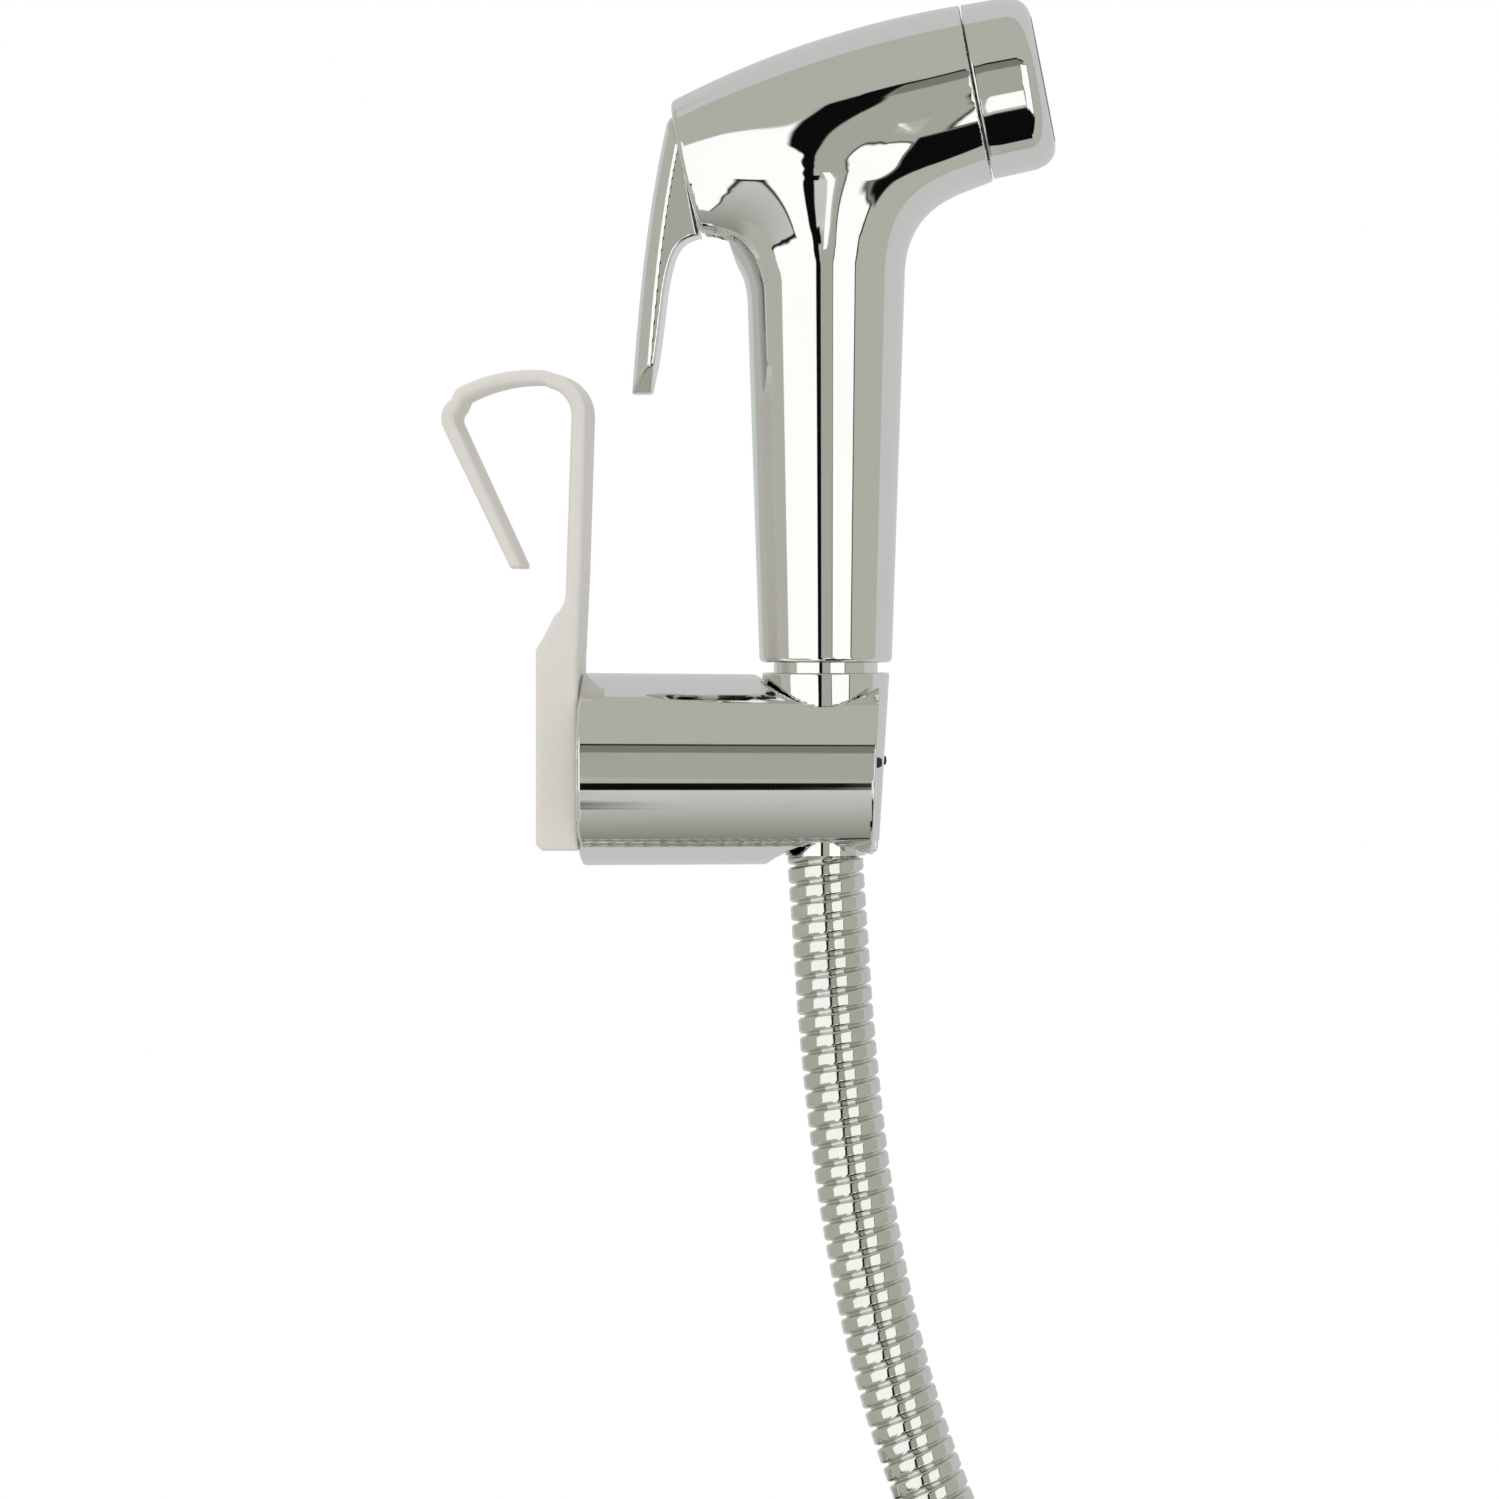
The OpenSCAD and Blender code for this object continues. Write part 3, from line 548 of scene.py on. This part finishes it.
def hookField(x, y, z):
    flat = np.stack([np.ravel(x), np.ravel(z)], axis=1)
    own, where = np.unique(np.round(flat, 6), axis=0, return_inverse=True)
    line = np.array(hookLine)
    best = np.full(len(own), 1e9)
    inside = np.zeros(len(own), bool)
    for a, b in zip(line, np.roll(line, -1, axis=0)):
        side = b - a
        share = np.clip(((own - a) @ side) / side.dot(side), 0, 1)
        best = np.minimum(best, np.hypot(*(own - a - share[:, None] * side).T))
        if a[1] != b[1]:
            over = (own[:, 1] < a[1]) != (own[:, 1] < b[1])
            cross = a[0] + (own[:, 1] - a[1]) / (b[1] - a[1]) * side[0]
            inside ^= over & (own[:, 0] < cross)
    outline = np.where(inside, -best, best)[where.ravel()].reshape(np.shape(x))
    form = roundCut(outline, np.abs(y) - hookShape["width"] / 2, hookShape["edge"])
    for s in (-1, 1):
        room = np.where(x < hookShape["headDepth"], hookShape["headRoom"], hookShape["shankRoom"])
        form = np.maximum(form, room - np.hypot(y, z - hold["screwRise"] * s))
    return form


points, faces, normals = fieldMesh(hookField, (-19, -12.2, -16), (10.5, 12.2, 75.5), hookShape["step"])
makePiece("tankHook", points, faces, "bracket", ("tank_hook",), "hook_plastic", sharp=None)
print("hook made,", len(faces), "faces")


# Chrome is a crisp, nearly white mirror; steel and brass blur and tint what they mirror
def mirror(name, look):
    material = bpy.data.materials.new(name)
    material.use_nodes = True
    tree = material.node_tree
    tree.nodes.clear()
    where = addNode(tree, "ShaderNodeTexCoord")
    # A slow waviness bends long reflections, as on moulded and plated parts
    wave = addNode(tree, "ShaderNodeTexNoise", links={
        "Vector": where.outputs["Object"], "Scale": 1 / look["waveSize"], "Detail": 0.0, "Roughness": 0.4})
    grain = addNode(tree, "ShaderNodeTexNoise", links={
        "Vector": where.outputs["Object"], "Scale": 1 / look["grainSize"], "Detail": 4.0, "Roughness": 0.6})
    waveBump = addNode(tree, "ShaderNodeBump", links={
        "Strength": 1.0, "Distance": look["waveDepth"], "Height": wave.outputs["Fac"]})
    grainBump = addNode(tree, "ShaderNodeBump", links={
        "Strength": 1.0, "Distance": look["grainDepth"], "Height": grain.outputs["Fac"],
        "Normal": waveBump.outputs["Normal"]})
    # Wiped handling marks dull the finish in soft patches
    smear = addNode(tree, "ShaderNodeTexNoise", links={
        "Vector": where.outputs["Object"], "Scale": 1 / look["smearSize"], "Detail": 3.0, "Distortion": 0.8})
    dull = addNode(tree, "ShaderNodeMapRange", links={
        "Value": smear.outputs["Fac"], "From Min": 0.45, "From Max": 0.75,
        "To Min": look["rough"], "To Max": look["rough"] + look["smear"]})
    tint = addNode(tree, "ShaderNodeMixRGB", links={
        "Fac": smear.outputs["Fac"], "Color1": toLinear(look["colour"]),
        "Color2": toLinear(look["colourTwo"])})
    body = addNode(tree, "ShaderNodeBsdfPrincipled", links={
        "Base Color": tint.outputs["Color"], "Metallic": 1.0, "Roughness": dull.outputs["Result"],
        "Normal": grainBump.outputs["Normal"]})
    addNode(tree, "ShaderNodeOutputMaterial", links={"Surface": body.outputs["BSDF"]})
    return material


chromedAbs = mirror("chromed ABS", {
    "colour": "#E8E8E6", "colourTwo": "#E4E4E1", "rough": 0.025, "smear": 0.03, "waveSize": 0.02,
    "waveDepth": 0.00001, "grainSize": 0.0006, "grainDepth": 0.0000004, "smearSize": 0.02})
chromedBrass = mirror("chromed brass", {
    "colour": "#E9E9E7", "colourTwo": "#E3E3DF", "rough": 0.02, "smear": 0.03, "waveSize": 0.01,
    "waveDepth": 0.000004, "grainSize": 0.0004, "grainDepth": 0.0000003, "smearSize": 0.012})
spiralSteel = mirror("polished stainless spiral", {
    "colour": "#E2E1DD", "colourTwo": "#D6D5CF", "rough": 0.05, "smear": 0.06, "waveSize": 0.004,
    "waveDepth": 0.00001, "grainSize": 0.0003, "grainDepth": 0.0000006, "smearSize": 0.008})
plainSteel = mirror("plain steel", {
    "colour": "#B9B8B4", "colourTwo": "#A5A39D", "rough": 0.22, "smear": 0.15, "waveSize": 0.003,
    "waveDepth": 0.00001, "grainSize": 0.0002, "grainDepth": 0.000002, "smearSize": 0.004})
brass = mirror("machined brass", {
    "colour": "#D9B66A", "colourTwo": "#C49B4F", "rough": 0.18, "smear": 0.12, "waveSize": 0.003,
    "waveDepth": 0.000005, "grainSize": 0.00015, "grainDepth": 0.000003, "smearSize": 0.004})


# Plastics and rubber: slightly cloudy colour, a fine skin and a soft, broad highlight
def moulded(name, look):
    material = bpy.data.materials.new(name)
    material.use_nodes = True
    tree = material.node_tree
    tree.nodes.clear()
    where = addNode(tree, "ShaderNodeTexCoord")
    cloud = addNode(tree, "ShaderNodeTexNoise", links={
        "Vector": where.outputs["Object"], "Scale": 1 / look["cloudSize"], "Detail": 4.0, "Roughness": 0.55})
    skin = addNode(tree, "ShaderNodeTexNoise", links={
        "Vector": where.outputs["Object"], "Scale": 1 / look["skinSize"], "Detail": 5.0, "Roughness": 0.65})
    tint = addNode(tree, "ShaderNodeMixRGB", links={
        "Fac": cloud.outputs["Fac"], "Color1": toLinear(look["colour"]),
        "Color2": toLinear(look["colourTwo"])})
    dull = addNode(tree, "ShaderNodeMapRange", links={
        "Value": skin.outputs["Fac"], "To Min": look["rough"] - 0.06, "To Max": look["rough"] + 0.1})
    bump = addNode(tree, "ShaderNodeBump", links={
        "Strength": 1.0, "Distance": look["skinDepth"], "Height": skin.outputs["Fac"]})
    body = addNode(tree, "ShaderNodeBsdfPrincipled", links={
        "Base Color": tint.outputs["Color"], "Roughness": dull.outputs["Result"],
        "Normal": bump.outputs["Normal"], "Subsurface Weight": look["glow"], "Subsurface Scale": 0.002})
    addNode(tree, "ShaderNodeOutputMaterial", links={"Surface": body.outputs["BSDF"]})
    return material


hookPlastic = moulded("warm white ABS", {
    "colour": "#EAE6E0", "colourTwo": "#E4DFD8", "rough": 0.38, "cloudSize": 0.03, "skinSize": 0.0005,
    "skinDepth": 0.000006, "glow": 0.06})
acetal = moulded("white acetal", {
    "colour": "#EDEDEA", "colourTwo": "#E2E2DE", "rough": 0.32, "cloudSize": 0.01, "skinSize": 0.0003,
    "skinDepth": 0.000003, "glow": 0.12})
rubber = moulded("nitrile rubber", {
    "colour": "#1B1B1C", "colourTwo": "#262627", "rough": 0.6, "cloudSize": 0.006, "skinSize": 0.0003,
    "skinDepth": 0.00001, "glow": 0.0})
sprayPlastic = moulded("grey silicone and plate", {
    "colour": "#8D9090", "colourTwo": "#7E8181", "rough": 0.45, "cloudSize": 0.005, "skinSize": 0.0004,
    "skinDepth": 0.000006, "glow": 0.03})

# Woven strap: crossing ribs of yarn with a dusty sheen
weave = {"yarn": 0.0007, "dark": "#151516", "light": "#2E2E30"}
strapCloth = bpy.data.materials.new("woven strap")
strapCloth.use_nodes = True
tree = strapCloth.node_tree
tree.nodes.clear()
where = addNode(tree, "ShaderNodeTexCoord")
ribs = [addNode(tree, "ShaderNodeTexWave", {"bands_direction": way}, {
    "Vector": where.outputs["Object"], "Scale": 1 / weave["yarn"] / 6.28, "Distortion": 0.6, "Detail": 2.0})
    for way in ("X", "Y", "Z")]
pair = addNode(tree, "ShaderNodeMath", {"operation": "MAXIMUM"}, {
    0: ribs[0].outputs["Fac"], 1: ribs[1].outputs["Fac"]})
three = addNode(tree, "ShaderNodeMath", {"operation": "MULTIPLY"}, {
    0: pair.outputs[0], 1: ribs[2].outputs["Fac"]})
tint = addNode(tree, "ShaderNodeMixRGB", links={
    "Fac": three.outputs[0], "Color1": toLinear(weave["dark"]), "Color2": toLinear(weave["light"])})
bump = addNode(tree, "ShaderNodeBump", links={
    "Strength": 1.0, "Distance": 0.0002, "Height": three.outputs[0]})
cloth = addNode(tree, "ShaderNodeBsdfPrincipled", links={
    "Base Color": tint.outputs["Color"], "Roughness": 0.85, "Sheen Weight": 0.4,
    "Normal": bump.outputs["Normal"]})
addNode(tree, "ShaderNodeOutputMaterial", links={"Surface": cloth.outputs["BSDF"]})

looks = {
    "hook_plastic": hookPlastic, "holder_chrome": chromedAbs, "shell_chrome": chromedAbs,
    "lever_chrome": chromedAbs, "nut_chrome": chromedBrass, "connector_chrome": chromedBrass,
    "hose_metal": spiralSteel, "screw_steel": plainSteel, "brass_parts": brass, "black_rubber": rubber,
    "tie_fabric": strapCloth, "white_acetal": acetal, "spray_face": sprayPlastic}
slotOf = {part["node"]: part["material_slot"] for part in frame["record"]["subparts"]}
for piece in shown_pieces():
    slotName = piece.get("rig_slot") or slotOf[piece.name]
    piece.data.materials.clear()
    piece.data.materials.append(looks[slotName])
    if piece.name in nodes:
        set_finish(piece, slotName)
# The hose ferrule shows as plated below the nut, though its slot is brass_parts
nodes["hose_ferrule"].data.materials.clear()
nodes["hose_ferrule"].data.materials.append(chromedBrass)
print("materials set")

# Studio: white to the eye, and panels of light and card that only mirrors show
world = bpy.data.worlds.new("studio")
scene.world = world
world.use_nodes = True
tree = world.node_tree
tree.nodes.clear()
where = addNode(tree, "ShaderNodeTexCoord")
split = addNode(tree, "ShaderNodeSeparateXYZ", links={"Vector": where.outputs["Generated"]})
ripple = addNode(tree, "ShaderNodeTexNoise", links={
    "Vector": where.outputs["Generated"], "Scale": 5.0, "Detail": 1.0})


def reckon(operation, a, b=0.0):
    return addNode(tree, "ShaderNodeMath", {"operation": operation}, {0: a, 1: b}).outputs[0]


inDegrees = 57.2958
front = reckon("MULTIPLY", split.outputs["Y"], -1.0)
waver = reckon("MULTIPLY", reckon("SUBTRACT", ripple.outputs["Fac"], 0.5), 5.0)
compass = reckon("MULTIPLY", reckon("ARCTAN2", split.outputs["X"], front), inDegrees)
azimuth = reckon("ADD", compass, waver)
height = reckon("ADD", reckon("MULTIPLY", reckon("ARCSINE", split.outputs["Z"]), inDegrees), waver)
around = reckon("MULTIPLY", reckon("ARCTAN2", split.outputs["Z"], front), inDegrees)


def band(value, low, high, soft):
    up = addNode(tree, "ShaderNodeMapRange", {"interpolation_type": "SMOOTHSTEP"}, {
        "Value": value, "From Min": low - soft, "From Max": low + soft})
    down = addNode(tree, "ShaderNodeMapRange", {"interpolation_type": "SMOOTHSTEP"}, {
        "Value": value, "From Min": high - soft, "From Max": high + soft, "To Min": 1.0, "To Max": 0.0})
    return reckon("MULTIPLY", up.outputs["Result"], down.outputs["Result"])


def layer(under, over, mask):
    mix = addNode(tree, "ShaderNodeMixRGB", links={"Fac": mask, "Color1": under, "Color2": over})
    return mix.outputs["Color"]


# Slanted measures, for panels whose edges lean
leaning = reckon("ADD", azimuth, reckon("MULTIPLY", reckon("MINIMUM", height, 0.0), 0.24))
slant = reckon("ADD", azimuth, reckon("MULTIPLY", height, 0.34))
rising = reckon("ADD", height, reckon("MULTIPLY", azimuth, 1.2))
card, pale, ink, edging = "#A3A49B", "#FFFFFF", "#0B0B0B", "#22221F"
# Each panel: measure, its range, the range in height, softness in degrees, colour
panels = [
    (azimuth, -66, -11, -25.6, -22, 0.5, "#1A1A19"),
    (azimuth, -64.5, -11.5, -23, 30.5, 0.9, pale),
    (rising, -3.4, 26, 2, 30.5, 1.4, ink),
    (azimuth, -64.5, -18, -23, 30.5, 1.4, pale),
    (azimuth, -31.5, -11, -62, -23, 0.7, "#1A1A19"),
    (azimuth, -30, -11.5, -62, -22, 0.8, pale),
    (azimuth, -12, -4.5, -48, 30.5, 0.7, ink),
    (leaning, -4.7, 13.2, -15, 30.5, 0.7, card),
    (leaning, 6, 13.2, -33, -13, 0.7, card),
    (azimuth, -4.7, 30, 21, 30.5, 1.2, "#77776F"),
    (azimuth, -6, -0.9, -24, -15.5, 0.8, ink),
    (slant, -3.6, 1.2, -31, -12, 0.7, pale),
    (leaning, 12.4, 48, -34, 26, 0.7, edging),
    (leaning, 13.6, 46, -33, 25, 0.7, pale),
    (azimuth, 2, 60, -78, -34.5, 1.6, ink),
    (azimuth, -12, 36, 29, 30.7, 0.5, ink),
]
floorTint = addNode(tree, "ShaderNodeMapRange", links={
    "Value": around, "From Min": -24.0, "From Max": -108.0}).outputs["Result"]
ground = layer(toLinear("#C6C7C2"), toLinear("#6C6962"), floorTint)
aside = reckon("MULTIPLY", split.outputs["X"], inDegrees)
underneath = reckon("MULTIPLY", band(around, -104, -22, 2.0), band(aside, -44, 10, 5.0))
olive = toLinear("#ACAEA5")
colour = layer(olive, ground, underneath)
behind = addNode(tree, "ShaderNodeMapRange", {"interpolation_type": "SMOOTHSTEP"}, {
    "Value": front, "From Min": -0.13, "From Max": -0.17}).outputs["Result"]
colour = layer(colour, toLinear("#BEC1C0"), behind)
leftWall = reckon("MULTIPLY", band(azimuth, -137, -60, 1.0), band(height, -50, 50, 8.0))
colour = layer(colour, olive, leftWall)
for across, start, end, under, over, soft, tone in panels:
    mask = reckon("MULTIPLY", band(across, start, end, soft), band(height, under, over, soft))
    colour = layer(colour, toLinear(tone), mask)
path = addNode(tree, "ShaderNodeLightPath")
shine = addNode(tree, "ShaderNodeBackground", links={"Color": colour, "Strength": 1.24})
skyTint = addNode(tree, "ShaderNodeMapRange", links={
    "Value": split.outputs["Z"], "From Min": -1.0, "From Max": 1.0, "To Min": 0.62, "To Max": 0.94})
dome = addNode(tree, "ShaderNodeBackground", links={
    "Color": toLinear(pale), "Strength": skyTint.outputs["Result"]})
plain = addNode(tree, "ShaderNodeBackground", links={"Color": toLinear(pale), "Strength": 1.0})
mixed = addNode(tree, "ShaderNodeMixShader", links={"Fac": path.outputs["Is Glossy Ray"]})
tree.links.new(dome.outputs[0], mixed.inputs[1])
tree.links.new(shine.outputs[0], mixed.inputs[2])
final = addNode(tree, "ShaderNodeMixShader", links={"Fac": path.outputs["Is Camera Ray"]})
tree.links.new(mixed.outputs[0], final.inputs[1])
tree.links.new(plain.outputs[0], final.inputs[2])
addNode(tree, "ShaderNodeOutputWorld", links={"Surface": final.outputs[0]})

# Floor under the hanging coil, and one soft light from the upper left
floorMesh = bpy.data.meshes.new("studioFloor")
floorCorners = [(-0.5, -0.45), (0.6, -0.45), (0.6, 0.5), (-0.5, 0.5)]
floorMesh.from_pydata([(x, y, -0.33) for x, y in floorCorners], [], [(0, 1, 2, 3)])
floorPlane = bpy.data.objects.new("studioFloor", floorMesh)
scene.collection.objects.link(floorPlane)
floorPlane.visible_glossy = False
floorMesh.materials.append(moulded("pale floor", {
    "colour": "#F4F4F3", "colourTwo": "#F0F0EE", "rough": 0.7, "cloudSize": 0.2, "skinSize": 0.002,
    "skinDepth": 0.00001, "glow": 0.0}))
lamp = bpy.data.objects.new("softLight", bpy.data.lights.new("softLight", "AREA"))
lamp.data.size = 0.6
lamp.data.energy = 1.2
lamp.location = (-0.45, -0.7, 0.75)
lamp.rotation_euler = (Vector((0.03, 0, 0.03)) - lamp.location).to_track_quat("-Z", "Y").to_euler()
lamp.visible_glossy = False
scene.collection.objects.link(lamp)
scene.view_settings.view_transform = "Standard"
print("studio made")
